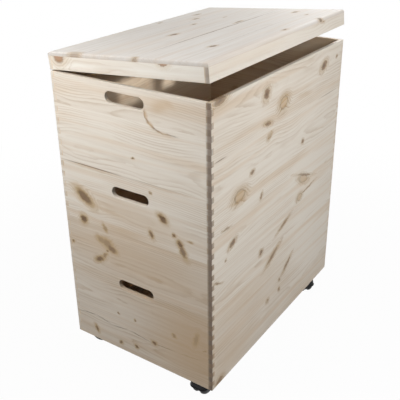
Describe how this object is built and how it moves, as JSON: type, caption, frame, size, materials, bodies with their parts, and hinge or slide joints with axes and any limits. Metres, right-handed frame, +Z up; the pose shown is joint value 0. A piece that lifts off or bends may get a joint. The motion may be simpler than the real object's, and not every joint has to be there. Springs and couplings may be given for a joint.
{
  "type": "potato storage bin",
  "caption": "Tall finger-jointed pine storage box with hand slots, a hinged skirted lid standing ajar, and swivel twin-wheel castors under the floor.",
  "frame": {"origin": "on the floor, under the middle of the box's footprint", "axes": "+Z up; -Y faces the front short wall with the hand slots; the lid's hinge line runs along Y on the -X side, so the lid opens on the +X side"},
  "size_m": [0.4063, 0.6, 0.7896],
  "materials": {
    "box_pine": "untreated planed pine",
    "lid_pine": "untreated planed pine",
    "hinge_steel": "zinc-plated",
    "screw_steel": "zinc-plated",
    "castor_steel": "zinc-plated",
    "castor_hood_plastic": "moulded black",
    "castor_wheel_plastic": "moulded black"
  },
  "bodies": {
    "box": {"back_hinge_box_leaf": "hinge_steel", "back_hinge_pin": "hinge_steel", "back_left_castor_plate": "castor_steel", "back_left_castor_stem": "castor_steel", "back_panel": "box_pine", "back_right_castor_plate": "castor_steel", "back_right_castor_stem": "castor_steel", "bottom_panel": "box_pine", "castor_screws": "screw_steel", "front_hinge_box_leaf": "hinge_steel", "front_hinge_pin": "hinge_steel", "front_left_castor_plate": "castor_steel", "front_left_castor_stem": "castor_steel", "front_panel": "box_pine", "front_right_castor_plate": "castor_steel", "front_right_castor_stem": "castor_steel", "hinge_box_screws": "screw_steel", "left_panel": "box_pine", "right_panel": "box_pine"},
    "lid": {"back_hinge_lid_leaf": "hinge_steel", "front_hinge_lid_leaf": "hinge_steel", "hinge_lid_screws": "screw_steel", "lid_back_rail": "lid_pine", "lid_front_rail": "lid_pine", "lid_left_rail": "lid_pine", "lid_panel": "lid_pine", "lid_right_rail": "lid_pine"},
    "front_left_castor": {"front_left_castor_axle": "castor_steel", "front_left_castor_hood": "castor_hood_plastic"},
    "front_left_left_wheel": {"front_left_castor_left_wheel": "castor_wheel_plastic"},
    "front_left_right_wheel": {"front_left_castor_right_wheel": "castor_wheel_plastic"},
    "front_right_castor": {"front_right_castor_axle": "castor_steel", "front_right_castor_hood": "castor_hood_plastic"},
    "front_right_left_wheel": {"front_right_castor_left_wheel": "castor_wheel_plastic"},
    "front_right_right_wheel": {"front_right_castor_right_wheel": "castor_wheel_plastic"},
    "back_left_castor": {"back_left_castor_axle": "castor_steel", "back_left_castor_hood": "castor_hood_plastic"},
    "back_left_left_wheel": {"back_left_castor_left_wheel": "castor_wheel_plastic"},
    "back_left_right_wheel": {"back_left_castor_right_wheel": "castor_wheel_plastic"},
    "back_right_castor": {"back_right_castor_axle": "castor_steel", "back_right_castor_hood": "castor_hood_plastic"},
    "back_right_left_wheel": {"back_right_castor_left_wheel": "castor_wheel_plastic"},
    "back_right_right_wheel": {"back_right_castor_right_wheel": "castor_wheel_plastic"}
  },
  "joints": [
    {"name": "lid_hinge", "type": "hinge", "parent": "box", "child": "lid", "pos_m": [-0.2033, 0, 0.7178], "axis": [0, -1, 0], "range_deg": [-5.17, 184.1]},
    {"name": "front_left_swivel", "type": "hinge", "parent": "box", "child": "front_left_castor", "pos_m": [-0.152, -0.243, 0.0568], "axis": [0, 0, 1], "continuous": true},
    {"name": "front_left_left_wheel_spin", "type": "hinge", "parent": "front_left_castor", "child": "front_left_left_wheel", "pos_m": [-0.17317, -0.24673, 0.025], "axis": [0.1736, -0.9848, 0], "continuous": true},
    {"name": "front_left_right_wheel_spin", "type": "hinge", "parent": "front_left_castor", "child": "front_left_right_wheel", "pos_m": [-0.17317, -0.24673, 0.025], "axis": [0.1736, -0.9848, 0], "continuous": true},
    {"name": "front_right_swivel", "type": "hinge", "parent": "box", "child": "front_right_castor", "pos_m": [0.152, -0.243, 0.0568], "axis": [0, 0, 1], "continuous": true},
    {"name": "front_right_left_wheel_spin", "type": "hinge", "parent": "front_right_castor", "child": "front_right_left_wheel", "pos_m": [0.152, -0.2645, 0.025], "axis": [1, 0, 0], "continuous": true},
    {"name": "front_right_right_wheel_spin", "type": "hinge", "parent": "front_right_castor", "child": "front_right_right_wheel", "pos_m": [0.152, -0.2645, 0.025], "axis": [1, 0, 0], "continuous": true},
    {"name": "back_left_swivel", "type": "hinge", "parent": "box", "child": "back_left_castor", "pos_m": [-0.152, 0.243, 0.0568], "axis": [0, 0, 1], "continuous": true},
    {"name": "back_left_left_wheel_spin", "type": "hinge", "parent": "back_left_castor", "child": "back_left_left_wheel", "pos_m": [-0.16339, 0.22477, 0.025], "axis": [0.848, -0.5299, 0], "continuous": true},
    {"name": "back_left_right_wheel_spin", "type": "hinge", "parent": "back_left_castor", "child": "back_left_right_wheel", "pos_m": [-0.16339, 0.22477, 0.025], "axis": [0.848, -0.5299, 0], "continuous": true},
    {"name": "back_right_swivel", "type": "hinge", "parent": "box", "child": "back_right_castor", "pos_m": [0.152, 0.243, 0.0568], "axis": [0, 0, 1], "continuous": true},
    {"name": "back_right_left_wheel_spin", "type": "hinge", "parent": "back_right_castor", "child": "back_right_left_wheel", "pos_m": [0.16847, 0.22918, 0.025], "axis": [0.6428, 0.766, 0], "continuous": true},
    {"name": "back_right_right_wheel_spin", "type": "hinge", "parent": "back_right_castor", "child": "back_right_right_wheel", "pos_m": [0.16847, 0.22918, 0.025], "axis": [0.6428, 0.766, 0], "continuous": true}
  ]
}
